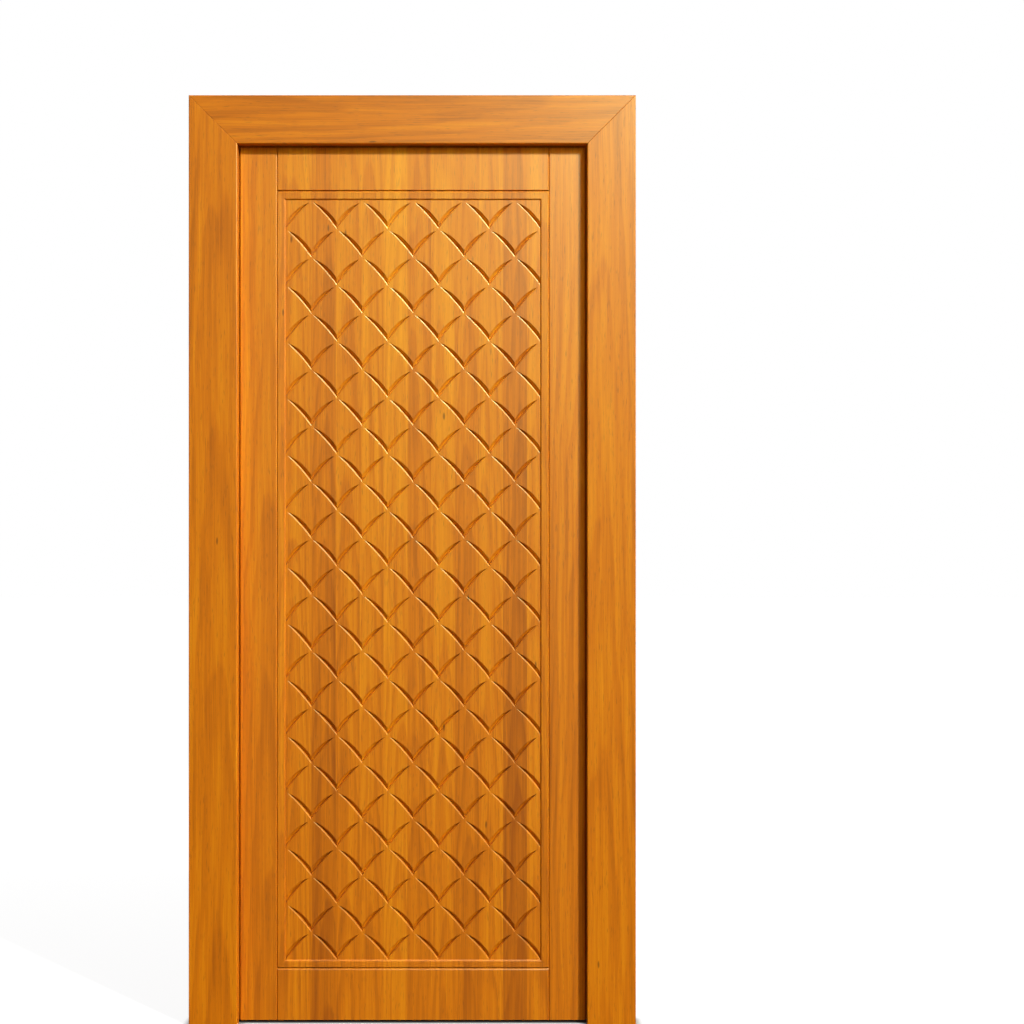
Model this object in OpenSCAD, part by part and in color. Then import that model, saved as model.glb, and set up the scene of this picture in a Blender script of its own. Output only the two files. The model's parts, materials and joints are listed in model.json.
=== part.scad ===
// Teak door leaf, carved with fish scales, hung on three butt hinges in its mitred frame.
// Millimetres. X runs across the door, Y through it from front to back, Z up.
// The origin is on the floor, at the middle of the frame's width and depth.

/* [Leaf] */
// Width of the leaf
leaf_w = 838; // [720:1:960]
// Height of the leaf
leaf_h = 2057; // [1900:1:2200]
// Thickness of the leaf
leaf_t = 38; // [32:1:50]
// Gap between the leaf and the floor
floor_gap = 7; // [4:0.5:12]
// Gap between the leaf and the frame, at the sides and the top
side_gap = 3; // [2:0.5:5]
// Width of each plain stile
stile_w = 101; // [85:1:120]
// Height of the plain end of the boards above the carved panel
top_end_h = 118; // [80:1:160]
// Height of the plain end of the boards below the carved panel
bottom_end_h = 120; // [80:1:160]

/* [Boards] */
// Width of each full stave
stave_w = 56; // [50:0.5:60]
// Width of the first stave, beside the hinge stile
first_stave_w = 25; // [20:0.5:35]
// Length of the tongue that joins the staves to each stile
tongue_l = 12; // [6:0.5:20]
// Thickness of that tongue
tongue_t = 12; // [8:0.5:16]
// Clearance around the tongue in its groove
tongue_clear = 0.1; // [0.05:0.05:0.3]
// Chamfer on each board at the joint between stave and stile
v_joint = 2.5; // [1:0.25:4]
// Radius of the eased edges of the leaf
leaf_arris_r = 1.5; // [0.5:0.25:3]
// Width of the dark joint around the face, a groove run in the leaf beside the frame's edge
joint_groove_w = 3.5; // [2:0.25:6]
// Depth of that groove
joint_groove_depth = 7; // [4:0.5:10]

/* [Panel] */
// Width of the bevelled band around the carved field
band_w = 20; // [12:1:30]
// How far the band slopes down from the face of the leaf
band_drop = 1; // [0.5:0.25:3]
// Height of the step from the band down to the carved field
field_step = 3.5; // [1:0.25:4]
// Slope of that step, in degrees from the face
step_angle = 50; // [40:1:70]
// Width of the grooves across the boards at both ends of the panel
end_groove_w = 7; // [4:0.5:9]
// Slope of the upper side of those grooves, in degrees from the face
end_groove_angle = 70; // [55:1:80]
// Slope of their lower side, in degrees from the face
end_bevel_angle = 40; // [30:1:50]

/* [Carving] */
// Scales across the field
scale_columns = 5; // [4:1:6]
// Half rows of scales down the field
scale_half_rows = 27; // [21:2:33]
// Sideways distance from a scale's tip to the thin ends of the cuts below it
cut_start_x = 6.5; // [4:0.1:10]
// Drop from a scale's tip to the thin ends of the cuts below it
cut_start_drop = 6.5; // [4:0.1:10]
// Height of the cut at the tip of a scale
cut_tip_h = 15; // [12:0.5:22]
// Bow of the cut's upper edge
upper_bow = 6; // [5:0.1:9]
// Bow of the cut's lower edge
lower_bow = 2; // [1.5:0.1:3.5]
// How far the apex of the facet's cone lies from the cut's thin end, across the cut
apex_in = 28; // [22:0.5:36]
// How far that apex lies below the field
apex_depth = 40; // [34:0.5:46]
// Slope of the steep wall, in degrees from the face
wall_angle = 72; // [55:1:80]
// Width of the eased edge along the cut's lower side
ease_w = 1.2; // [1:0.1:3]
// Slope of that eased edge, in degrees from the face
ease_angle = 27; // [20:1:35]

/* [Frame] */
// Width of the frame's face
frame_face = 113; // [90:1:140]
// Depth of the frame, front to back
frame_depth = 64; // [60:1:90]
// How far the frame's stop covers the edge of the leaf
stop_cover = 12; // [8:0.5:18]
// Gap between the closed leaf and the stop
stop_gap = 1; // [0.5:0.25:2]
// Radius of the eased edge around the opening
inner_arris_r = 3; // [1:0.5:6]
// Radius of the eased edge around the outside
outer_arris_r = 2; // [1:0.5:6]

/* [Frame joints and fixings] */
// Radius of the dowels across the mitres
dowel_r = 5; // [3:0.5:6]
// Length of those dowels
dowel_l = 60; // [40:1:64]
// Clearance around a dowel
dowel_clear = 0.05; // [0.02:0.01:0.2]
// Distance from the rebate's corner to the first dowel, along the mitre
dowel_start = 34; // [28:1:40]
// Distance between the two dowels of a mitre
dowel_pitch = 42; // [20:1:46]
// Depth of the fine V at the face of a mitre
mitre_v = 0.8; // [0.4:0.1:1.5]
// Radius of the wall fixing holes
fixing_r = 4.25; // [3:0.25:6]
// Radius of the counterbore that hides a fixing's head
fixing_bore_r = 9; // [7:0.5:11]
// Depth of that counterbore
fixing_bore_depth = 12; // [6:1:20]
// Distance from the middle of the top or bottom hinge to the fixing hole beyond it
fixing_past_hinge = 119; // [80:1:140]

/* [Hinges] */
// Height of a hinge
hinge_h = 100; // [76:1:127]
// Width of each plate, from the back of the leaf inwards
plate_w = 30; // [24:1:31]
// Thickness of each plate
plate_t = 2.5; // [2:0.1:3]
// Radius of the knuckles
knuckle_r = 6; // [5.5:0.25:7]
// Knuckles on a hinge, both halves together
knuckles = 5; // [3:2:7]
// Gap between two knuckles
knuckle_gap = 0.3; // [0.2:0.05:0.6]
// Gap between the knuckles and the back of the door
knuckle_clear = 0.5; // [0.4:0.1:2]
// Radius of the pin
pin_r = 3; // [2:0.25:3.5]
// Running clearance around the pin
pin_clear = 0.05; // [0.02:0.01:0.1]
// Radius of the pin's round head
pin_head_r = 5; // [4:0.25:6]
// Height of the pin's round head
pin_head_h = 3; // [2:0.25:5]
// Distance from the top of the leaf to the middle of the top hinge
hinge_top_inset = 180; // [150:1:230]
// Distance from the bottom of the leaf to the middle of the bottom hinge
hinge_bottom_inset = 255; // [200:1:320]
// Clearance around a plate in its housing
plate_clear = 0.2; // [0.1:0.05:0.4]

/* [Hinge screws] */
// Screws in each plate
plate_screws = 4; // [3:1:4]
// Distance between neighbouring screws, up the hinge
screw_pitch = 24; // [22:0.5:25]
// How far the screws stand left and right of the plate's middle, by turns
screw_stagger = 5; // [3:0.5:7]
// Length of a screw
screw_l = 32; // [20:1:40]
// Radius of a screw's shank
screw_r = 2; // [1.5:0.1:2.5]
// Radius of a screw's head
screw_head_r = 4; // [3.5:0.1:4.5]
// Height of a screw's countersunk head
screw_head_h = 2.2; // [1.6:0.1:2.4]
// Width of the slot in a screw's head
screw_slot_w = 0.9; // [0.6:0.1:1.2]
// Depth of that slot
screw_slot_depth = 1; // [0.6:0.1:1.2]
// Clearance around a screw
screw_clear = 0.1; // [0.05:0.05:0.2]

/* [Hidden] */
$fa = 2;
$fs = 0.8;
// How far a cutting shape reaches past the surface that it cuts
past = 1;

teak = "#C9782E";
teak_dark = "#B86A22";
brass = "#B99A55";

// The opening and the rebate, measured from the leaf
leaf_x = leaf_w / 2;
leaf_bottom = floor_gap;
leaf_top = leaf_bottom + leaf_h;
opening_x = leaf_x - stop_cover;
opening_top = leaf_top - stop_cover;
rebate_w = stop_cover + side_gap;
rebate_x = opening_x + rebate_w;
rebate_top = opening_top + rebate_w;
frame_x = opening_x + frame_face;
frame_top = opening_top + frame_face;

// Depths, from the front of the frame to its back, where the leaf lies flush
front_y = -frame_depth / 2;
back_y = frame_depth / 2;
leaf_y = back_y - leaf_t;
stop_y = leaf_y - stop_gap;
field_drop = band_drop + field_step;
field_y = leaf_y + field_drop;

// The panel between the stiles, its band and its carved field
panel_x = leaf_x - stile_w;
panel_bottom = leaf_bottom + bottom_end_h;
panel_top = leaf_top - top_end_h;
panel_mid_z = (panel_bottom + panel_top) / 2;
panel_h = panel_top - panel_bottom;
field_x = panel_x - band_w;
field_h = panel_h - 2 * band_w;
field_top = panel_top - band_w;
tongue_y = (field_y + back_y) / 2;

// Seams between the staves: the last stave takes what the others leave
full_staves = floor((2 * panel_x - first_stave_w) / stave_w - 0.5);
stave_count = full_staves + 2;
function seam_x(i) =
    i == 0 ? -panel_x
    : i == stave_count ? panel_x
    : -panel_x + first_stave_w + (i - 1) * stave_w;

// One cut of the carving, with the tip of its scale at [0, 0]: two arcs from the thin end down to the tip
half_column = field_x / scale_columns;
half_row = field_h / scale_half_rows;
cut_start = [cut_start_x - half_column, half_row - cut_start_drop];
cusp = [0, cut_tip_h];
tip = [0, 0];
function unit(v) = v / norm(v);
function bow_radius(p, q, bow) = pow(norm(q - p), 2) / (8 * bow) + bow / 2;
function bow_side(p, q) = unit([q.y - p.y, p.x - q.x]);
function bow_centre(p, q, bow) = (p + q) / 2 + bow_side(p, q) * (bow_radius(p, q, bow) - bow);
lower_r = bow_radius(cut_start, tip, lower_bow);
lower_centre = bow_centre(cut_start, tip, lower_bow);

// The facet of a cut is part of a leaning cone, steep at the thin end and flatter at the tip. The rays from
// its apex to three points of the upper edge make one angle with its axis, and that fixes the axis.
upper_side = -bow_side(cut_start, cusp);
upper_middle = (cut_start + cusp) / 2 + upper_side * upper_bow;
apex_place = cut_start - upper_side * apex_in;
facet_apex = [apex_place.x, apex_place.y, -apex_depth];
function ray(p) = unit([p.x, p.y, 0] - facet_apex);
facet_axis = unit(cross(ray(cut_start) - ray(upper_middle), ray(cusp) - ray(upper_middle)));
facet_spread = acos(facet_axis * ray(cusp));
facet_lean = acos(facet_axis.z);
facet_turn = atan2(facet_axis.y, facet_axis.x);
facet_l = norm([half_column + apex_in, half_row + apex_in, apex_depth + past]);

// The hinge line, in the middle of the gap and clear of the back
pin_x = -leaf_x - side_gap / 2;
pin_y = back_y + knuckle_clear + knuckle_r;
knuckle_h = (hinge_h - (knuckles - 1) * knuckle_gap) / knuckles;
hinge_bottom_z = leaf_bottom + hinge_bottom_inset;
hinge_top_z = leaf_top - hinge_top_inset;
hinge_mid_z = (hinge_bottom_z + hinge_top_z) / 2;
hinge_places = ["bottom", "middle", "top"];
hinge_z = [hinge_bottom_z, hinge_mid_z, hinge_top_z];
screw_y = back_y - plate_w / 2;

// Fixing holes lie midway between the hinges and beyond the outer two, where the leaf's edge covers them
fixing_y = (stop_y + back_y) / 2;
fixing_z = [
    hinge_bottom_z - fixing_past_hinge,
    (hinge_bottom_z + hinge_mid_z) / 2,
    (hinge_mid_z + hinge_top_z) / 2,
    hinge_top_z + fixing_past_hinge];
dowel_y = (stop_y + back_y) / 2;

function two_digits(i) = str(i < 10 ? "0" : "", i);
staves = [for (i = [1:stave_count]) str("stave_", two_digits(i))];
frame_plates = [for (place = hinge_places) str("hinge_frame_plate_", place)];
leaf_plates = [for (place = hinge_places) str("hinge_leaf_plate_", place)];
pins = [for (place = hinge_places) str("hinge_pin_", place)];

// Frame members

// What an eased edge takes off a square corner at [0, 0] of the quadrant x > 0, y > 0
module arris_waste(r) {
    difference() {
        translate([-past, -past])
            square(r + past);
        translate([r, r])
            circle(r);
    }
}

// Section of all three frame members: x runs from the opening outwards, y from front to back
module member_section() {
    difference() {
        translate([0, front_y])
            square([frame_face, frame_depth]);
        translate([-past, stop_y])
            square([rebate_w + past, frame_depth]);
        translate([0, front_y])
            arris_waste(inner_arris_r);
        translate([frame_face, front_y])
            mirror([1, 0])
                arris_waste(outer_arris_r);
    }
}

// The right-hand post, before it is drilled: cut to a mitre at the top
module post_blank() {
    intersection() {
        translate([opening_x, 0, 0])
            linear_extrude(frame_top)
                member_section();
        rotate([90, 0, 0])
            linear_extrude(frame_depth + 2 * past, center = true)
                polygon([
                    [opening_x - past, -past],
                    [frame_x + past, -past],
                    [frame_x + past, frame_top + past],
                    [opening_x - past, opening_top - past]]);
    }
}

module head_blank() {
    intersection() {
        translate([0, 0, opening_top])
            rotate([0, -90, 0])
                linear_extrude(2 * frame_x, center = true)
                    member_section();
        rotate([90, 0, 0])
            linear_extrude(frame_depth + 2 * past, center = true)
                polygon([
                    [-frame_x - past, frame_top + past],
                    [-opening_x + past, opening_top - past],
                    [opening_x - past, opening_top - past],
                    [frame_x + past, frame_top + past]]);
    }
}

// Places its children on the dowel centres of one mitre, square to the joint
module at_dowels(side) {
    for (i = [0, 1]) {
        along = (dowel_start + i * dowel_pitch) * cos(45);
        translate([side * (rebate_x + along), dowel_y, rebate_top + along])
            rotate([0, -45 * side, 0])
                children();
    }
}

module dowel_holes(side) {
    at_dowels(side)
        cylinder(h = dowel_l + 2 * past, r = dowel_r + dowel_clear, center = true);
}

module mitre_dowels(side) {
    color(teak_dark)
        at_dowels(side)
            cylinder(h = dowel_l, r = dowel_r, center = true);
}

// The fine V that the eased edges of two members make at the face of a mitre
module mitre_groove(side) {
    translate([side * (opening_x + frame_x) / 2, front_y, (opening_top + frame_top) / 2])
        rotate([0, 45 * side, 0])
            linear_extrude(2 * frame_face, center = true)
                rotate(45)
                    square(mitre_v * sqrt(2), center = true);
}

// Holes for the wall fixings of the right-hand post, counterbored from the rebate
module fixing_holes() {
    for (z = fixing_z)
        translate([rebate_x - past, fixing_y, z])
            rotate([0, 90, 0]) {
                cylinder(h = frame_face, r = fixing_r);
                cylinder(h = fixing_bore_depth + past, r = fixing_bore_r);
            }
}

module hinge_post() {
    color(teak)
        difference() {
            mirror([1, 0, 0])
                post_blank();
            mirror([1, 0, 0])
                fixing_holes();
            dowel_holes(-1);
            mitre_groove(-1);
            for (z = hinge_z)
                on_hinge(z)
                    mirror([1, 0, 0])
                        plate_housing();
        }
}

module lock_post() {
    color(teak)
        difference() {
            post_blank();
            fixing_holes();
            dowel_holes(1);
            mitre_groove(1);
        }
}

module head() {
    color(teak)
        difference() {
            head_blank();
            for (side = [-1, 1]) {
                dowel_holes(side);
                mitre_groove(side);
            }
        }
}

// Hinges, drawn about the pin with the leaf's half on the +X side

module on_hinge(z) {
    translate([pin_x, pin_y, z])
        children();
}

// Places its children at the screws of one plate, pointing into the wood of the leaf
module at_screws() {
    for (i = [0:plate_screws - 1]) {
        turn = i % 2 == 0 ? -1 : 1;
        up = (i - (plate_screws - 1) / 2) * screw_pitch;
        translate([side_gap / 2, screw_y - pin_y + turn * screw_stagger, up])
            rotate([0, 90, 0])
                children();
    }
}

// A countersunk screw along +Z with its head at zero, or its hole where it is grown by a clearance
module screw_form(grow) {
    rotate_extrude()
        polygon([
            [0, 0],
            [screw_head_r + grow, 0],
            [screw_r + grow, screw_head_h + grow],
            [screw_r + grow, screw_l - 2 * screw_r + grow],
            [0, screw_l + grow]]);
}

module plate_screw() {
    difference() {
        screw_form(0);
        translate([-screw_head_r - past, -screw_slot_w / 2, -past])
            cube([2 * (screw_head_r + past), screw_slot_w, screw_slot_depth + past]);
    }
}

// The shallow housing for the leaf's plate, with the holes for its screws
module plate_housing() {
    translate([side_gap / 2 - past, back_y - pin_y - plate_w - plate_clear, -hinge_h / 2 - plate_clear])
        cube([plate_t + past, plate_w + plate_clear + past, hinge_h + 2 * plate_clear]);
    at_screws()
        screw_form(screw_clear);
}

// One half of a hinge: its plate, and every second knuckle starting from the given one
module hinge_half(first) {
    difference() {
        union() {
            translate([side_gap / 2, back_y - pin_y - plate_w, -hinge_h / 2])
                cube([plate_t, plate_w, hinge_h]);
            for (i = [first:2:knuckles - 1])
                translate([0, 0, -hinge_h / 2 + i * (knuckle_h + knuckle_gap)]) {
                    cylinder(h = knuckle_h, r = knuckle_r);
                    translate([side_gap / 2, back_y - pin_y - past, 0])
                        cube([plate_t, pin_y - back_y + past, knuckle_h]);
                }
        }
        cylinder(h = hinge_h + 2 * past, r = pin_r + pin_clear, center = true);
        at_screws()
            screw_form(screw_clear);
    }
}

module hinge_frame_plate(z) {
    color(brass)
        on_hinge(z)
            mirror([1, 0, 0])
                hinge_half(0);
}

module hinge_leaf_plate(z) {
    color(brass)
        on_hinge(z)
            hinge_half(1);
}

// The pin, with a domed head that rests on the top knuckle
module hinge_pin(z) {
    dome_r = (pow(pin_head_r, 2) + pow(pin_head_h, 2)) / (2 * pin_head_h);
    color(brass)
        on_hinge(z)
            union() {
                translate([0, 0, -hinge_h / 2])
                    cylinder(h = hinge_h + past, r = pin_r);
                intersection() {
                    translate([0, 0, hinge_h / 2 + pin_head_h - dome_r])
                        sphere(dome_r);
                    translate([0, 0, hinge_h / 2])
                        cylinder(h = pin_head_h + past, r = pin_head_r + past);
                }
            }
}

module frame_screws() {
    color(brass)
        for (z = hinge_z)
            on_hinge(z)
                mirror([1, 0, 0])
                    at_screws()
                        plate_screw();
}

module leaf_screws() {
    color(brass)
        for (z = hinge_z)
            on_hinge(z)
                at_screws()
                    plate_screw();
}

// Boards of the leaf

// Section of the groove around the face: x runs inwards from the edge of the opening, y into the leaf
module joint_groove_section() {
    translate([0, -past])
        square([joint_groove_w, joint_groove_depth + past]);
    translate([joint_groove_w, 0])
        arris_waste(leaf_arris_r);
}

// The part of that groove that runs across the top of the leaf
module top_joint_groove() {
    translate([0, leaf_y, opening_top])
        rotate([0, 90, 0])
            linear_extrude(leaf_w + 2 * past, center = true)
                joint_groove_section();
}

// Section of the right-hand stile: grooved for the tongue and chamfered at the joint
module stile_section() {
    difference() {
        translate([panel_x, leaf_y])
            square([stile_w, leaf_t]);
        translate([panel_x - past, tongue_y - tongue_t / 2 - tongue_clear])
            square([tongue_l + tongue_clear + past, tongue_t + 2 * tongue_clear]);
        translate([panel_x, leaf_y])
            rotate(45)
                square(v_joint * sqrt(2), center = true);
        translate([opening_x, leaf_y])
            mirror([1, 0])
                joint_groove_section();
        translate([leaf_x, leaf_y])
            mirror([1, 0])
                arris_waste(leaf_arris_r);
    }
}

module stile_blank() {
    difference() {
        translate([0, 0, leaf_bottom])
            linear_extrude(leaf_h)
                stile_section();
        top_joint_groove();
    }
}

module hinge_stile() {
    color(teak)
        difference() {
            mirror([1, 0, 0])
                stile_blank();
            for (z = hinge_z)
                on_hinge(z)
                    plate_housing();
        }
}

module lock_stile() {
    color(teak)
        stile_blank();
}

// Outline of a tapered block, x across and y into the leaf: half is half its width at the leaf's face
module taper(half, flare, start, end) {
    polygon([
        [-half - flare * start, start],
        [half + flare * start, start],
        [half + flare * end, end],
        [-half - flare * end, end]]);
}

// A block centred on the panel, half_w by half_h where it meets the face of the leaf,
// that grows by flare for each millimetre of depth, between the depths start and end
module tapered_block(half_w, half_h, flare, start, end) {
    long = 2 * leaf_h;
    translate([0, leaf_y, panel_mid_z])
        intersection() {
            linear_extrude(long, center = true)
                taper(half_w, flare, start, end);
            rotate([0, 90, 0])
                linear_extrude(long, center = true)
                    taper(half_h, flare, start, end);
        }
}

// The band slopes from the face of the leaf, and a short steep step leads from it down to the field
module field_recess() {
    step_run = 1 / tan(step_angle);
    reach = field_drop * step_run;
    tapered_block(panel_x, panel_h / 2, -band_w / band_drop, -past, band_drop);
    tapered_block(field_x + reach, field_h / 2 + reach, -step_run, -past, field_drop);
}

// The grooves across the boards at both ends of the panel: steep above and bevelled below
module end_grooves() {
    half = end_groove_w / 2;
    upper_run = 1 / tan(end_groove_angle);
    lower_run = 1 / tan(end_bevel_angle);
    depth = end_groove_w / (upper_run + lower_run);
    for (z = [panel_bottom, panel_top])
        translate([0, leaf_y, z])
            rotate([0, 90, 0])
                linear_extrude(leaf_w, center = true)
                    polygon([
                        [-half - past * upper_run, -past],
                        [half + past * lower_run, -past],
                        [-half + depth * upper_run, depth]]);
}

// The leaning cone, from its apex to beyond every point of the cut
module facet_cone() {
    translate(facet_apex)
        rotate([0, facet_lean, facet_turn])
            cylinder(h = facet_l, r1 = 0, r2 = facet_l * tan(facet_spread));
}

// The wood below a cut: r is its radius in the field, and slope the angle at which its edge falls away
module kept_wood(r, slope) {
    run = 1 / tan(slope);
    deep = apex_depth + past;
    translate([lower_centre.x, lower_centre.y, -deep])
        cylinder(h = deep + 2 * past, r1 = r + deep * run, r2 = r - 2 * past * run);
}

// One cut, to the left of its tip: the facet slopes down from the upper edge, a steep wall climbs back
// to the eased lower edge, and the middle of the scale ends it
module cut() {
    intersection() {
        difference() {
            facet_cone();
            intersection() {
                kept_wood(lower_r, wall_angle);
                kept_wood(lower_r - ease_w, ease_angle);
            }
        }
        translate([-half_column, -half_row, -apex_depth])
            cube([half_column, 3 * half_row, apex_depth + past]);
    }
}

// The cuts that reach into the strip between two seams. Tips lie on every second half column, and
// the half rows take turns, so that each cut runs from one tip to the next tip below it.
module carving(left, right) {
    translate([0, field_y, 0])
        rotate([90, 0, 0])
            for (row = [1:scale_half_rows])
                for (column = [(row + 1) % 2:2:2 * scale_columns], side = [-1, 1]) {
                    tip_x = column * half_column - field_x;
                    start_x = tip_x + side * half_column;
                    reaches = min(tip_x, start_x) < right && max(tip_x, start_x) > left;
                    on_field = column + side >= 0 && column + side <= 2 * scale_columns;
                    if (reaches && on_field)
                        translate([tip_x, field_top - row * half_row, 0])
                            mirror([side > 0 ? 1 : 0, 0, 0])
                                cut();
                }
}

// Section of stave i: the outer two have a tongue and a chamfer where they meet the stiles
module stave_section(i) {
    left = seam_x(i - 1);
    right = seam_x(i);
    edge = i == 1 ? left : right;
    outward = i == 1 ? -1 : 1;
    outer = i == 1 || i == stave_count;
    difference() {
        union() {
            translate([left, leaf_y])
                square([right - left, leaf_t]);
            if (outer)
                translate([edge + outward * (tongue_l - past) / 2, tongue_y])
                    square([tongue_l + past, tongue_t], center = true);
        }
        if (outer)
            translate([edge, leaf_y])
                rotate(45)
                    square(v_joint * sqrt(2), center = true);
    }
}

module stave(i) {
    color(i % 2 == 0 ? teak : teak_dark)
        difference() {
            translate([0, 0, leaf_bottom])
                linear_extrude(leaf_h)
                    stave_section(i);
            top_joint_groove();
            field_recess();
            end_grooves();
            carving(seam_x(i - 1), seam_x(i));
        }
}

hinge_post();
lock_post();
head();
mitre_dowels(-1);  // mitre_dowels_left
mitre_dowels(1);  // mitre_dowels_right
for (i = [0:2]) hinge_frame_plate(hinge_z[i]);
for (i = [0:2]) hinge_pin(hinge_z[i]);
frame_screws();
hinge_stile();
lock_stile();
for (i = [1:stave_count]) stave(i);
for (i = [0:2]) hinge_leaf_plate(hinge_z[i]);
leaf_screws();
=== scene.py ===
# %% [markdown]
# # A carved teak door in its frame
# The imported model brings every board, hinge and screw at its real size, so nothing is modelled twice.
# What is left for Blender is what the eye reads as teak: the figure of each board, the satin oil finish
# and the light that rakes across the carving. An empty scene comes first, so only the door is in it.

# %% Load the door
import json
import math
from collections import namedtuple

import bpy
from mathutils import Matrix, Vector

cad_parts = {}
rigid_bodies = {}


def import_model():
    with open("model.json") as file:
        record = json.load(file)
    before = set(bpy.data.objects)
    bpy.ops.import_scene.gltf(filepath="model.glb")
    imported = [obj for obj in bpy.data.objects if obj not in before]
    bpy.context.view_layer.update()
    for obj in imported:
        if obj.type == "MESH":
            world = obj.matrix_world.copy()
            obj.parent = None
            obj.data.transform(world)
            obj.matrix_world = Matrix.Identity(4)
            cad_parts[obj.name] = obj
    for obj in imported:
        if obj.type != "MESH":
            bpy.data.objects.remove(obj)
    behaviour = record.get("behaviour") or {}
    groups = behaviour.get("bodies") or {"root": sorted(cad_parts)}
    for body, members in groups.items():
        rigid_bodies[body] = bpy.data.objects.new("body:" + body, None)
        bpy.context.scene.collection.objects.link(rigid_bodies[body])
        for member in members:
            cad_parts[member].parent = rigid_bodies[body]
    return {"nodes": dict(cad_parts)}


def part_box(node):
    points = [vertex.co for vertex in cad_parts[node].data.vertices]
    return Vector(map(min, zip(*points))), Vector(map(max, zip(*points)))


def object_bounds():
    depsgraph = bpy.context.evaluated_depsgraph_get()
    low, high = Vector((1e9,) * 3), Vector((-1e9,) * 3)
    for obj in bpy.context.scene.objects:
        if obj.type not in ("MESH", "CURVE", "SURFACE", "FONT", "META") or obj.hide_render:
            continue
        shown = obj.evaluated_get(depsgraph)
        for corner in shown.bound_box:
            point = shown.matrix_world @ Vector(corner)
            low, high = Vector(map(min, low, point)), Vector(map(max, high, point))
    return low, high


MM = 0.001

for leftover in list(bpy.data.objects):
    bpy.data.objects.remove(leftover)
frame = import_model()
cad_low, cad_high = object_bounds()
nodes = frame["nodes"]
door_size_mm = [round(side / MM) for side in cad_high - cad_low]
print("pieces:", len(nodes), "overall mm:", door_size_mm)

# %% [markdown]
# ## The camera
# The picture looks straight at the door from a little right of it, because the left reveal of the frame
# shows and the right one hardly does. The camera is held level, so the uprights stay parallel, and it
# stands four metres off, so the reveals stay narrow. The lens follows from the width that the picture
# takes in at the front of the frame.

# %% Camera
PICTURE_WIDTH = 2380.8 * MM
CAMERA_DISTANCE = 4.0
CAMERA_RIGHT = 232 * MM
CAMERA_HEIGHT = 1195.5 * MM
SENSOR_WIDTH = 36
LEVEL = math.radians(90)

camera_data = bpy.data.cameras.new("camera")
camera_data.sensor_width = SENSOR_WIDTH
camera_data.lens = SENSOR_WIDTH * CAMERA_DISTANCE / PICTURE_WIDTH
camera = bpy.data.objects.new("camera", camera_data)
camera.location = (CAMERA_RIGHT, cad_low.y - CAMERA_DISTANCE, CAMERA_HEIGHT)
camera.rotation_euler = (LEVEL, 0, 0)
bpy.context.scene.collection.objects.link(camera)
bpy.context.scene.camera = camera
bpy.context.scene.view_settings.view_transform = "Standard"
print("lens mm:", round(camera_data.lens, 1))

# %% [markdown]
# ## The light
# The frame throws a shadow on the leaf's top and right edges that is nearly as wide as the leaf lies
# deep. That fixes the direction of the main light: high on the right, in front. A sun gives the same
# angle over the whole height, so every scale of the carving is shaded alike. A soft lamp near the top
# right corner lifts that corner a little, as any lamp in a room does. Another stands behind the door, so
# that its back isn't left in the dark.

# %% Main lamp, corner lamp and back lamp
TOWARDS_KEY = Vector((20, -24, 20)).normalized()
KEY_STRENGTH = 2.85
KEY_SOFTNESS = math.radians(1.2)
# A sun shines alike from anywhere, so this is only where its sign stands in the viewport
SUN_PLACE = 5 * TOWARDS_KEY
CORNER_PLACE = Vector((1.35, -2.0, 3.0))
CORNER_TARGET = Vector((0.3, 0, 1.6))
CORNER_WATTS, CORNER_SIZE = 25, 1.0
BACK_PLACE = Vector((-1.6, 3.2, 2.4))
BACK_TARGET = Vector((0, 0, 1.1))
BACK_WATTS, BACK_SIZE = 60, 1.5


def add_lamp(name, kind, place, direction, energy, **settings):
    """Add a lamp at a place that shines along the direction."""
    data = bpy.data.lights.new(name, kind)
    data.energy = energy
    for setting, value in settings.items():
        setattr(data, setting, value)
    lamp = bpy.data.objects.new(name, data)
    lamp.location = place
    lamp.rotation_euler = direction.to_track_quat("-Z", "Y").to_euler()
    bpy.context.scene.collection.objects.link(lamp)
    return lamp


add_lamp("key_sun", "SUN", SUN_PLACE, -TOWARDS_KEY, KEY_STRENGTH, angle=KEY_SOFTNESS)
add_lamp("corner_lamp", "AREA", CORNER_PLACE, CORNER_TARGET - CORNER_PLACE, CORNER_WATTS,
         shape="SQUARE", size=CORNER_SIZE)
add_lamp("back_lamp", "AREA", BACK_PLACE, BACK_TARGET - BACK_PLACE, BACK_WATTS,
         shape="SQUARE", size=BACK_SIZE)
print("key comes from", [round(share, 2) for share in TOWARDS_KEY])

# %% [markdown]
# The upper right corner has a pale sheen that fades out towards the lower left, the eased edges of the
# carving glint, and the sheen is gone wherever the frame throws its shadow. So it is the gloss of a lamp
# that stands close by in the direction of the main light. It shines on gloss alone, because the wood has
# its light already, and it is a little yellow, as light that has been through the oil looks. Low down
# that lamp is too far off, but the edges glint there as well, in the wood's own amber. A sun of gloss
# adds that.

# %% Lamps for the gloss
GLOSS_COLOUR = (0.8, 1.0, 0.56)
GLOSS_CENTRE = Vector((0.2, cad_low.y, 2.0))
GLOSS_DISTANCE = 2.0
GLOSS_WATTS, GLOSS_SIZE = 2100, 0.2
GLINT_COLOUR = (1.0, 0.7, 0.15)
GLINT_STRENGTH = 50

gloss_lamp = add_lamp("gloss_lamp", "AREA", GLOSS_CENTRE + GLOSS_DISTANCE * TOWARDS_KEY, -TOWARDS_KEY,
                      GLOSS_WATTS, shape="SQUARE", size=GLOSS_SIZE, color=GLOSS_COLOUR)
glint_sun = add_lamp("glint_sun", "SUN", SUN_PLACE, -TOWARDS_KEY, GLINT_STRENGTH,
                     angle=KEY_SOFTNESS, color=GLINT_COLOUR)
gloss_lamps = (gloss_lamp, glint_sun)
for lamp in gloss_lamps:
    lamp.visible_diffuse = False
print("gloss lamp at", [round(place, 2) for place in gloss_lamp.location])

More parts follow.
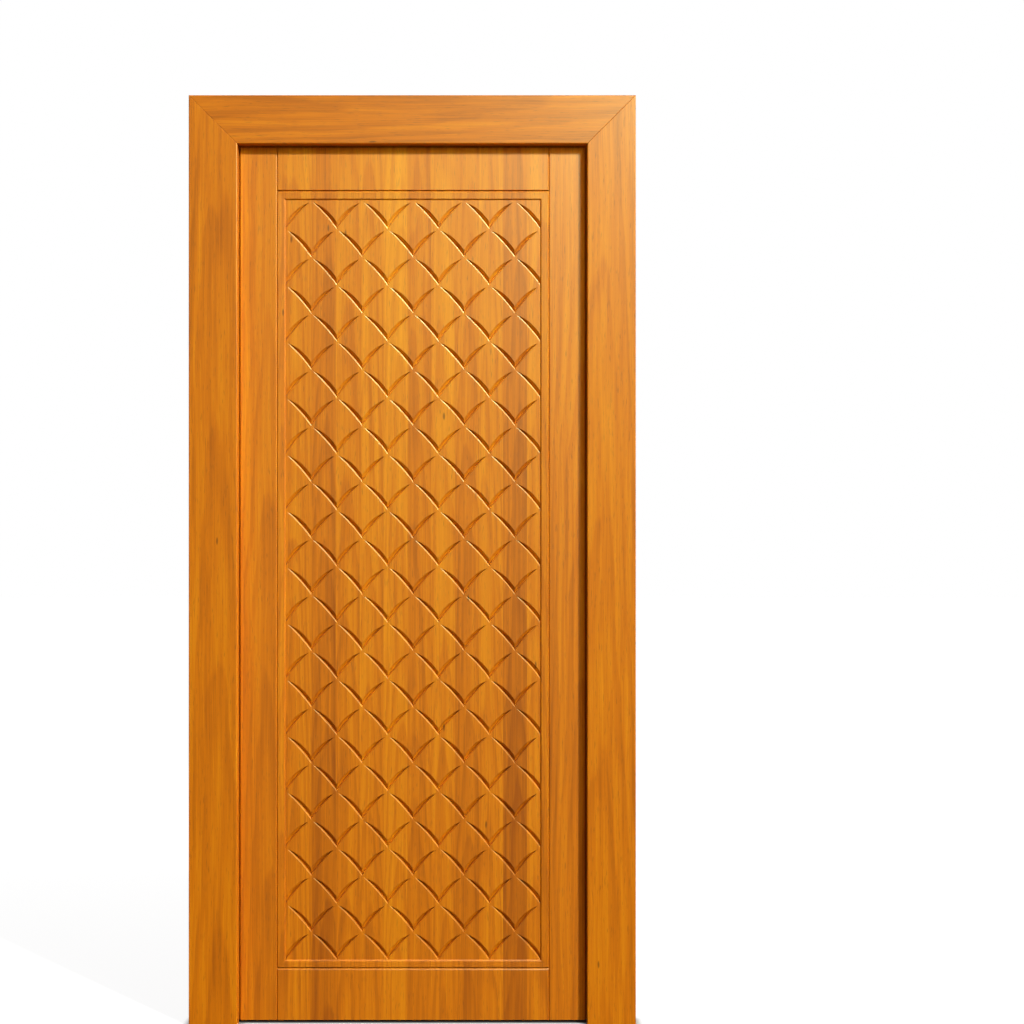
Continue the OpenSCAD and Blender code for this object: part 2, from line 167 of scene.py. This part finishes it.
# %% [markdown]
# ## One helper for all materials
# Colours are written as the hex values that a paint program shows, and one function turns them to the
# linear values that light is reckoned in. Every material is a net of nodes, and one function adds a
# node: it sets what is given as a number, and links what is given as another node's output.

# %% Colours and nodes
# A Mix node has sockets for numbers, vectors and colours. These are the places of its colour sockets.
UNDER, OVER, MIXED = 6, 7, 2


def linear(hex_colour):
    """The linear RGBA of an sRGB hex colour such as #CB7626, by the curve of the sRGB standard."""
    shares = [int(hex_colour[i:i + 2], 16) / 255 for i in (1, 3, 5)]
    return [s / 12.92 if s <= 0.04045 else ((s + 0.055) / 1.055) ** 2.4 for s in shares] + [1.0]


def add_node(tree, kind, inputs=None, output=0, **settings):
    """Add a node with its settings, set or link its inputs, and return one of its outputs. Where output is
    None, return the node itself."""
    node = tree.nodes.new(kind)
    for setting, value in settings.items():
        setattr(node, setting, value)
    for socket, value in (inputs or {}).items():
        if isinstance(value, bpy.types.NodeSocket):
            tree.links.new(value, node.inputs[socket])
        else:
            node.inputs[socket].default_value = value
    return node if output is None else node.outputs[output]


def new_material(name):
    """A material with an empty net of nodes, and that net."""
    material = bpy.data.materials.new(name)
    material.use_nodes = True
    material.node_tree.nodes.clear()
    return material, material.node_tree


print("half grey #808080 in linear light:", round(linear("#808080")[0], 3))

# %% [markdown]
# ## Sky and floor
# The picture's ground is plain white. A lit backdrop could give that, but it would throw as much light
# on the door as it shows. So the sky is white to the camera and in reflections, and dimmer where it
# lights the door, and the white doesn't wash the wood out.

# %% Sky
SKY_FILL = 0.3
WHITE = linear("#FFFFFF")


def seen_directly(tree):
    """One for a ray from the camera, a reflection or a glass, and zero for one that lights a surface."""
    path = add_node(tree, "ShaderNodeLightPath", output=None).outputs
    mirror = add_node(tree, "ShaderNodeMath", {0: path["Is Camera Ray"], 1: path["Is Glossy Ray"]},
                      operation="MAXIMUM")
    return add_node(tree, "ShaderNodeMath", {0: mirror, 1: path["Is Transmission Ray"]},
                    operation="MAXIMUM")


world = bpy.data.worlds.new("white_studio")
world.use_nodes = True
bpy.context.scene.world = world
sky = world.node_tree
sky.nodes.clear()
strength = add_node(sky, "ShaderNodeMapRange",
                    {"Value": seen_directly(sky), "To Min": SKY_FILL, "To Max": 1.0})
ground = add_node(sky, "ShaderNodeBackground", {"Color": WHITE, "Strength": strength})
add_node(sky, "ShaderNodeOutputWorld", {"Surface": ground}, None)
print("sky lights the door with", SKY_FILL, "of the white that shows")

# %% [markdown]
# The floor is matt paint, and it glows a little in the same way, just enough to come out white in the
# light. It still darkens where the door shades it, and goes black under the leaf, because the glow
# stands for the light of the open sky and fades where the sky is hidden.

# %% Floor
FLOOR_SIZE = 40.0
FLOOR_GREY = "#707070"
FLOOR_GLOW = 0.88
# The glow looks this far for what hides the sky, and starts where this share of the sky is open
GLOW_REACH = 20 * MM
GLOW_STARTS = 0.4

bpy.ops.mesh.primitive_plane_add(size=FLOOR_SIZE, location=(0, 0, 0))
floor = bpy.context.object
floor.name = "floor"
floor_paint, tree = new_material("matt_white_floor")
openness = add_node(tree, "ShaderNodeAmbientOcclusion", {"Distance": GLOW_REACH}, "AO")
open_glow = add_node(tree, "ShaderNodeMapRange",
                     {"Value": openness, "From Min": GLOW_STARTS, "To Max": FLOOR_GLOW})
glow = add_node(tree, "ShaderNodeMath", {0: seen_directly(tree), 1: open_glow}, operation="MULTIPLY")
glowing = add_node(tree, "ShaderNodeEmission", {"Color": WHITE, "Strength": glow})
matt = add_node(tree, "ShaderNodeBsdfDiffuse", {"Color": linear(FLOOR_GREY)})
surface = add_node(tree, "ShaderNodeAddShader", {0: glowing, 1: matt})
add_node(tree, "ShaderNodeOutputMaterial", {"Surface": surface}, None)
floor.data.materials.append(floor_paint)
print("floor across, in metres:", FLOOR_SIZE)

# %% [markdown]
# ## Teak
# Teak is a ring-porous wood: each year's growth starts with a row of large pores and ends in a thin dark
# line. A board shows these rings as long streaks where the saw cut across them, and as arches where it
# touched them. A picture of wood could be laid on each board, but it would repeat and wouldn't fit the
# cut faces. So the pattern is made in the tree's own space: distance from the pith gives the rings, and
# the board is wherever the saw put it. Each board has its own place in the log, so no two look alike,
# and the end grain comes out right by itself.

# %% The board's place in the log
# The grain wavers this many millimetres either way, in waves about so wide and so long
WAVER, WAVER_WIDTH, WAVER_LENGTH = 9, 70, 420
# From one board to the next, this many millimetres along the log
LOG_SHIFT = 3700


def grain_space(tree, along, heart, seed):
    """Millimetres across the board, through it and along its grain, counted from the pith of its log."""
    place = add_node(tree, "ShaderNodeTexCoord", output="Object")
    axes = add_node(tree, "ShaderNodeSeparateXYZ", {0: place}, None).outputs
    across = "Z" if along == "X" else "X"
    board = add_node(tree, "ShaderNodeCombineXYZ", {"X": axes[across], "Y": axes["Y"], "Z": axes[along]})
    shift = (-heart[0], -heart[1], seed * LOG_SHIFT)
    straight = add_node(tree, "ShaderNodeVectorMath", {0: board, 1: (1 / MM, 1 / MM, 1 / MM), 2: shift},
                        operation="MULTIPLY_ADD")
    waves = (1 / WAVER_WIDTH, 1 / WAVER_WIDTH, 1 / WAVER_LENGTH)
    sway = add_node(tree, "ShaderNodeVectorMath", {0: straight, 1: waves}, operation="MULTIPLY")
    drift = add_node(tree, "ShaderNodeTexNoise", {"Vector": sway, "Scale": 1.0, "Detail": 2.0}, "Color")
    centred = add_node(tree, "ShaderNodeVectorMath", {0: drift, 1: (0.5, 0.5, 0.5)}, operation="SUBTRACT")
    return add_node(tree, "ShaderNodeVectorMath", {0: centred, 1: (2 * WAVER, 2 * WAVER, 0), 2: straight},
                    operation="MULTIPLY_ADD")


def streaks(tree, grain, width, length, detail=2.0):
    """Soft streaks along the grain, of that width and length in millimetres, from about -0.5 to 0.5."""
    stretched = add_node(tree, "ShaderNodeVectorMath", {0: grain, 1: (1 / width, 1 / width, 1 / length)},
                         operation="MULTIPLY")
    noise = add_node(tree, "ShaderNodeTexNoise",
                     {"Vector": stretched, "Scale": 1.0, "Detail": detail}, "Fac")
    return add_node(tree, "ShaderNodeMath", {0: noise, 1: 0.5}, operation="SUBTRACT")


print("grain wavers by up to", WAVER, "mm, in waves of about", WAVER_LENGTH, "mm")

# %% [markdown]
# The rings are the distance from the pith, with a slight taper up the log, cut into years. A wave
# texture draws rings as well, but it rises and falls evenly. Here the colour darkens slowly through each
# year and drops back at once where the next begins.

# %% Growth rings
# The log's radius shrinks by this much with each unit of height
TAPER = 0.02
# Shares of a year: the late wood begins, is at its darkest, and starts to give way to the next year
LATE_BEGINS, LATE_FULL, LATE_ENDS = 0.3, 0.85, 0.88


def growth_rings(tree, grain, ring_width):
    """The dark late wood of each year: zero in the early wood, near one towards the end of the ring."""
    flat = add_node(tree, "ShaderNodeVectorMath", {0: grain, 1: (1, 1, 0)}, operation="MULTIPLY")
    radius = add_node(tree, "ShaderNodeVectorMath", {0: flat}, "Value", operation="LENGTH")
    height = add_node(tree, "ShaderNodeSeparateXYZ", {0: grain}, "Z")
    tapered = add_node(tree, "ShaderNodeMath", {0: height, 1: TAPER, 2: radius}, operation="MULTIPLY_ADD")
    years = add_node(tree, "ShaderNodeMath", {0: tapered, 1: 1 / ring_width}, operation="MULTIPLY")
    season = add_node(tree, "ShaderNodeMath", {0: years}, operation="FRACT")
    darkens = add_node(tree, "ShaderNodeMapRange",
                       {"Value": season, "From Min": LATE_BEGINS, "From Max": LATE_FULL},
                       interpolation_type="SMOOTHSTEP")
    ends = add_node(tree, "ShaderNodeMapRange", {"Value": season, "From Min": 1.0, "From Max": LATE_ENDS},
                    interpolation_type="SMOOTHSTEP")
    return add_node(tree, "ShaderNodeMath", {0: darkens, 1: ends}, operation="MULTIPLY")


print("for each mm of ring, the arches stand", round(1 / TAPER), "mm apart along the grain")

# %% [markdown]
# Pores show as short dark dashes along the grain. Real ones are a third of a millimetre wide, too fine
# for the picture, so they are drawn about five times as coarse. Here and there a pin knot, where a twig
# was, leaves a dark eye. Knots are scattered by cells: each cell of the board has one place for a knot,
# and few have the knot.

# %% Pores and pin knots
PORE_WIDTH, PORE_LENGTH = 1.8, 26
# Of the streaks, only the crests from this height are pores, and they are full from that height
PORE_RIM, PORE_FULL = 0.12, 0.24
KNOT_CELL_WIDTH, KNOT_CELL_LENGTH = 90, 330
# A knot's radius as a share of its cell, and the part of that radius that is fully dark
KNOT_RADIUS, KNOT_DARK = 0.035, 1 / 3
# The share of cells that have a knot
KNOT_CHANCE = 0.07


def pores(tree, grain):
    """One in a pore, zero in the wood between."""
    dashes = streaks(tree, grain, PORE_WIDTH, PORE_LENGTH, detail=1.0)
    return add_node(tree, "ShaderNodeMapRange",
                    {"Value": dashes, "From Min": PORE_RIM, "From Max": PORE_FULL})


def pin_knots(tree, grain):
    """One at the middle of a knot, falling to zero at its rim: a few cells of the board have one."""
    axes = add_node(tree, "ShaderNodeSeparateXYZ", {0: grain}, None).outputs
    face = add_node(tree, "ShaderNodeCombineXYZ", {"X": axes["X"], "Y": axes["Z"]})
    cells = add_node(tree, "ShaderNodeVectorMath",
                     {0: face, 1: (1 / KNOT_CELL_WIDTH, 1 / KNOT_CELL_LENGTH, 1)}, operation="MULTIPLY")
    knot = add_node(tree, "ShaderNodeTexVoronoi", {"Vector": cells, "Scale": 1.0}, None,
                    voronoi_dimensions="2D").outputs
    dark_radius = KNOT_RADIUS * KNOT_DARK
    near = add_node(tree, "ShaderNodeMapRange",
                    {"Value": knot["Distance"], "From Min": KNOT_RADIUS, "From Max": dark_radius},
                    interpolation_type="SMOOTHSTEP")
    chance = add_node(tree, "ShaderNodeSeparateColor", {"Color": knot["Color"]}, "Red")
    has_knot = add_node(tree, "ShaderNodeMath", {0: chance, 1: 1 - KNOT_CHANCE}, operation="GREATER_THAN")
    return add_node(tree, "ShaderNodeMath", {0: near, 1: has_knot}, operation="MULTIPLY")


print("pores", PORE_WIDTH, "mm wide, knots", round(2 * KNOT_RADIUS * KNOT_CELL_WIDTH, 1), "mm wide")

# %% [markdown]
# Teak runs from a deep red brown in the late wood to a golden orange. One number chooses the colour at
# each point. The growth rings pull it down, streaks of several widths push it up and down, each with its
# own weight, and the board's own tone shifts the whole. A colour ramp could turn that number to a
# colour, but two mixes do it with three colours that can be read at a glance.

# %% Colour of the wood
DEEP_TEAK, BODY_TEAK, PALE_TEAK = "#A04E04", "#CF7102", "#E8950C"
# The number that gives the body's colour: below it the wood is deeper, above it paler
BODY = 0.5
# How a board's figure is made up: rings in millimetres, and streaks as (width, length, weight)
Figure = namedtuple("Figure", "ring_width ring_weight layers")


def wood_shade(tree, grain, figure, tone, painted_light_rise):
    """The number that chooses the colour. Tone makes the board paler, and painted light does so with
    height.
    """
    rings = growth_rings(tree, grain, figure.ring_width)
    shade = add_node(tree, "ShaderNodeMath", {0: rings, 1: -figure.ring_weight, 2: BODY + tone},
                     operation="MULTIPLY_ADD")
    for width, length, weight in figure.layers:
        layer = streaks(tree, grain, width, length)
        shade = add_node(tree, "ShaderNodeMath", {0: layer, 1: weight, 2: shade}, operation="MULTIPLY_ADD")
    # Painted light: paler by the given rise for each metre of height
    place = add_node(tree, "ShaderNodeTexCoord", output="Object")
    height = add_node(tree, "ShaderNodeSeparateXYZ", {0: place}, "Z")
    return add_node(tree, "ShaderNodeMath", {0: height, 1: painted_light_rise, 2: shade}, operation="MULTIPLY_ADD")


def wood_colour(tree, shade):
    """Deep brown at zero, the body's orange in the middle and the palest gold at one."""
    dark_half = add_node(tree, "ShaderNodeMapRange", {"Value": shade, "From Min": 0.0, "From Max": BODY})
    pale_half = add_node(tree, "ShaderNodeMapRange", {"Value": shade, "From Min": BODY, "From Max": 1.0})
    colour = add_node(tree, "ShaderNodeMix",
                      {0: dark_half, UNDER: linear(DEEP_TEAK), OVER: linear(BODY_TEAK)},
                      MIXED, data_type="RGBA")
    return add_node(tree, "ShaderNodeMix", {0: pale_half, UNDER: colour, OVER: linear(PALE_TEAK)},
                    MIXED, data_type="RGBA")


print("teak from", DEEP_TEAK, "through", BODY_TEAK, "to", PALE_TEAK)

# %% [markdown]
# Pores and knots are darker stains in the wood. The colour is also darkened in grooves, as painted shade
# where the faces round about close in.

# %% Stains and painted shade
PORE_BROWN, PORE_STAIN = "#7A3E08", 0.4
KNOT_BROWN, KNOT_STAIN = "#5A2C08", 0.7
# Painted shade in grooves: its brown, its strength, and how far it looks for faces that close in
CREVICE_SHADE_BROWN, CREVICE_SHADE_STRENGTH = "#3A1A03", 0.55
CREVICE_REACH = 4 * MM
CREVICE_RAYS = 6
# Shares of open sky round about: no painted shade above the first, and all of it below the second
CREVICE_BEGINS, CREVICE_FULL = 0.75, 0.3


def painted_crevice_shade(tree):
    """Painted shade: zero on open faces, rising towards one where the faces round about close in."""
    openness = add_node(tree, "ShaderNodeAmbientOcclusion", {"Distance": CREVICE_REACH}, "AO",
                        samples=CREVICE_RAYS)
    return add_node(tree, "ShaderNodeMapRange",
                    {"Value": openness, "From Min": CREVICE_BEGINS, "From Max": CREVICE_FULL})


def stain_or_painted_shade(tree, colour, where, brown, strength):
    """Take the colour towards a brown, as far as the strength goes, where the stains or the painted shade
    lie.
    """
    share = add_node(tree, "ShaderNodeMath", {0: where, 1: strength}, operation="MULTIPLY")
    return add_node(tree, "ShaderNodeMix", {0: share, UNDER: colour, OVER: linear(brown)},
                    MIXED, data_type="RGBA")


print("old oil within", round(CREVICE_REACH / MM), "mm of a groove")

# %% [markdown]
# The oil is rubbed out to a satin, which gives a broad soft sheen and no mirror image. Pores are a
# little lower and rougher than the wood between them. The index of refraction is that of oiled wood, and
# the share of gloss is set low, because the lamps for the gloss are strong.

# %% Oiled teak
SATIN = 0.5
PORE_ROUGHER = 0.15
PORE_DEPTH = 0.1 * MM
PORE_RELIEF = 0.4
OIL_IOR = 1.5


def oiled_teak(name, along, heart, seed, tone, figure, gloss, painted_light_rise=0.0):
    """Teak for one board, with its grain along an axis and the pith at the heart, in millimetres."""
    material, tree = new_material(name)
    grain = grain_space(tree, along, heart, seed)
    colour = wood_colour(tree, wood_shade(tree, grain, figure, tone, painted_light_rise))
    pore = pores(tree, grain)
    colour = stain_or_painted_shade(tree, colour, pore, PORE_BROWN, PORE_STAIN)
    colour = stain_or_painted_shade(tree, colour, pin_knots(tree, grain), KNOT_BROWN, KNOT_STAIN)
    # Painted shade: darker where the faces round about close in
    colour = stain_or_painted_shade(tree, colour, painted_crevice_shade(tree), CREVICE_SHADE_BROWN, CREVICE_SHADE_STRENGTH)
    roughness = add_node(tree, "ShaderNodeMath", {0: pore, 1: PORE_ROUGHER, 2: SATIN},
                         operation="MULTIPLY_ADD")
    depth = add_node(tree, "ShaderNodeMath", {0: pore, 1: -1.0}, operation="MULTIPLY")
    relief = add_node(tree, "ShaderNodeBump",
                      {"Height": depth, "Strength": PORE_RELIEF, "Distance": PORE_DEPTH})
    surface = add_node(tree, "ShaderNodeBsdfPrincipled",
                       {"Base Color": colour, "Roughness": roughness, "Normal": relief, "IOR": OIL_IOR,
                        "Specular IOR Level": gloss})
    add_node(tree, "ShaderNodeOutputMaterial", {"Surface": surface}, None)
    return material


print("satin roughness:", SATIN)

# %% [markdown]
# ## The boards of the leaf
# Twelve staves stand side by side between two stiles. Each was cut from another place in the log, so at
# each seam the tone steps up or down. The steps are set board by board. The leaf is a little paler high
# up, which is painted light for the brighter light there, and it was rubbed out glossier than the frame.

# %% Staves
LEAF_LAYERS = ((2.2, 520, 0.5), (8, 800, 0.6), (26, 1100, 0.55))
# The second number is painted light: how much paler the leaf is painted for each metre of height
LEAF_GLOSS, LEAF_PAINTED_LIGHT_RISE = 0.06, 0.12
STAVE_FIGURE = Figure(7.0, 0.18, LEAF_LAYERS)
STAVE_TONES = (-0.06, -0.02, -0.24, -0.04, 0.02, 0.12, -0.1, 0.04, -0.14, 0.02, -0.28, 0.02)
# The pith lies behind each stave, further to one side or deeper by turns that don't repeat
HEART_BEHIND, HEART_DEEPER, DEEPER_TURN = 60, 25, 1.7
HEART_BESIDE, BESIDE_TURN = 14, 2.4


def dress(node, material):
    """Give a piece that one material."""
    nodes[node].data.materials.clear()
    nodes[node].data.materials.append(material)


def middle_across(node, along):
    """The middle of a board across its grain, in millimetres."""
    low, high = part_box(node)
    axis = 2 if along == "X" else 0
    return (low[axis] + high[axis]) / 2 / MM


for i, tone in enumerate(STAVE_TONES, start=1):
    node = f"stave_{i:02d}"
    beside = HEART_BESIDE * math.sin(BESIDE_TURN * i)
    behind = HEART_BEHIND + HEART_DEEPER * math.cos(DEEPER_TURN * i)
    heart = (middle_across(node, "Z") + beside, behind)
    dress(node, oiled_teak(f"oiled_teak_{node}", "Z", heart, i, tone, STAVE_FIGURE,
                           LEAF_GLOSS, LEAF_PAINTED_LIGHT_RISE))
print("staves dressed:", len(STAVE_TONES))

# %% [markdown]
# The stiles are plain boards from further out in the log, so their rings are wider and straighter.

# %% Stiles
STILES = ("hinge_stile", "lock_stile")
STILE_FIGURE = Figure(9.0, 0.15, LEAF_LAYERS)
STILE_TONE = -0.06
STILE_BESIDE, STILE_BEHIND = 30, 90
FIRST_STILE_SEED = 20

for seed, node in enumerate(STILES, start=FIRST_STILE_SEED):
    heart = (middle_across(node, "Z") + STILE_BESIDE, STILE_BEHIND)
    dress(node, oiled_teak(f"oiled_teak_{node}", "Z", heart, seed, STILE_TONE, STILE_FIGURE,
                           LEAF_GLOSS, LEAF_PAINTED_LIGHT_RISE))
print("stiles dressed:", len(STILES))

# %% [markdown]
# ## The frame
# The posts and the head are wider boards with a broader, wavier figure. The head's grain runs across.
# The dowels in the mitres are hidden, and are teak as well.

# %% Posts, head and dowels
FRAME_LAYERS = ((2.2, 170, 0.5), (8, 330, 0.6), (36, 800, 0.55))
FRAME_GLOSS = 0.043
POST_FIGURE = Figure(12.0, 0.16, FRAME_LAYERS)
HEAD_FIGURE = Figure(10.0, 0.16, FRAME_LAYERS)
Board = namedtuple("Board", "along beside behind tone figure")
FRAME_BOARDS = {
    "hinge_post": Board("Z", 15, 80, 0.03, POST_FIGURE),
    "lock_post": Board("Z", -25, 95, 0.07, POST_FIGURE),
    "head": Board("X", 40, 140, -0.02, HEAD_FIGURE),
}
FIRST_FRAME_SEED = 31
DOWELS = ("mitre_dowels_left", "mitre_dowels_right")
DOWEL = Board("X", 0, 40, 0.1, Figure(5.0, 0.1, LEAF_LAYERS))
FIRST_DOWEL_SEED = 41


def frame_teak(name, node, board, seed):
    """Teak for a board of the frame, with the pith beside its middle and behind it."""
    heart = (middle_across(node, board.along) + board.beside, board.behind)
    return oiled_teak(name, board.along, heart, seed, board.tone, board.figure, FRAME_GLOSS)


for seed, (node, board) in enumerate(FRAME_BOARDS.items(), start=FIRST_FRAME_SEED):
    dress(node, frame_teak(f"oiled_teak_{node}", node, board, seed))
for seed, node in enumerate(DOWELS, start=FIRST_DOWEL_SEED):
    dress(node, frame_teak(f"teak_{node}", node, DOWEL, seed))
print("frame boards dressed:", len(FRAME_BOARDS), "and sets of dowels:", len(DOWELS))

# %% [markdown]
# ## The hinges
# Brass butt hinges, rolled and drawn plates that were brushed and have dulled. Brass keeps a warm yellow
# in its reflections, and handling leaves faint brown patches. The brushing only changes how rough the
# metal is, because its lines are far too shallow to be seen as relief.

# %% Satin brass
CLEAN_BRASS, DULL_BRASS = "#C9A765", "#8F6F38"
BRUSH_WIDTH, BRUSH_LENGTH = 0.8 * MM, 12 * MM
BRUSHED_SMOOTH, BRUSHED_ROUGH = 0.24, 0.46
PATCH_WIDTH = 16.667 * MM
PATCH_RIM, PATCH_FULL = 0.45, 0.75


def satin_brass(name):
    """Brushed brass with dull patches."""
    material, tree = new_material(name)
    place = add_node(tree, "ShaderNodeTexCoord", output="Object")
    brushed = add_node(tree, "ShaderNodeVectorMath",
                       {0: place, 1: (1 / BRUSH_WIDTH, 1 / BRUSH_WIDTH, 1 / BRUSH_LENGTH)},
                       operation="MULTIPLY")
    lines = add_node(tree, "ShaderNodeTexNoise", {"Vector": brushed, "Scale": 1.0, "Detail": 1.0}, "Fac")
    dulling = add_node(tree, "ShaderNodeTexNoise",
                       {"Vector": place, "Scale": 1 / PATCH_WIDTH, "Detail": 3.0}, "Fac")
    patch = add_node(tree, "ShaderNodeMapRange",
                     {"Value": dulling, "From Min": PATCH_RIM, "From Max": PATCH_FULL})
    colour = add_node(tree, "ShaderNodeMix",
                      {0: patch, UNDER: linear(CLEAN_BRASS), OVER: linear(DULL_BRASS)},
                      MIXED, data_type="RGBA")
    roughness = add_node(tree, "ShaderNodeMapRange",
                         {"Value": lines, "To Min": BRUSHED_SMOOTH, "To Max": BRUSHED_ROUGH})
    surface = add_node(tree, "ShaderNodeBsdfPrincipled",
                       {"Base Color": colour, "Roughness": roughness, "Metallic": 1.0})
    add_node(tree, "ShaderNodeOutputMaterial", {"Surface": surface}, None)
    return material


brass = satin_brass("satin_brass")
metal_nodes = ["frame_screws", "leaf_screws"]
metal_nodes += [name for name in nodes if "_plate_" in name or "_pin_" in name]
for node in metal_nodes:
    dress(node, brass)
print("brass pieces:", len(metal_nodes))

# %% [markdown]
# Metal mirrors a lamp many times as strongly as oiled wood does, so the lamp that was set for the satin
# would burn out on the brass, and so would the sun of gloss. Light linking keeps both to the boards.

# %% Boards under the gloss lamps
boards = bpy.data.collections.new("boards")
for name in nodes:
    if name not in metal_nodes:
        boards.objects.link(nodes[name])
for lamp in gloss_lamps:
    lamp.light_linking.receiver_collection = boards
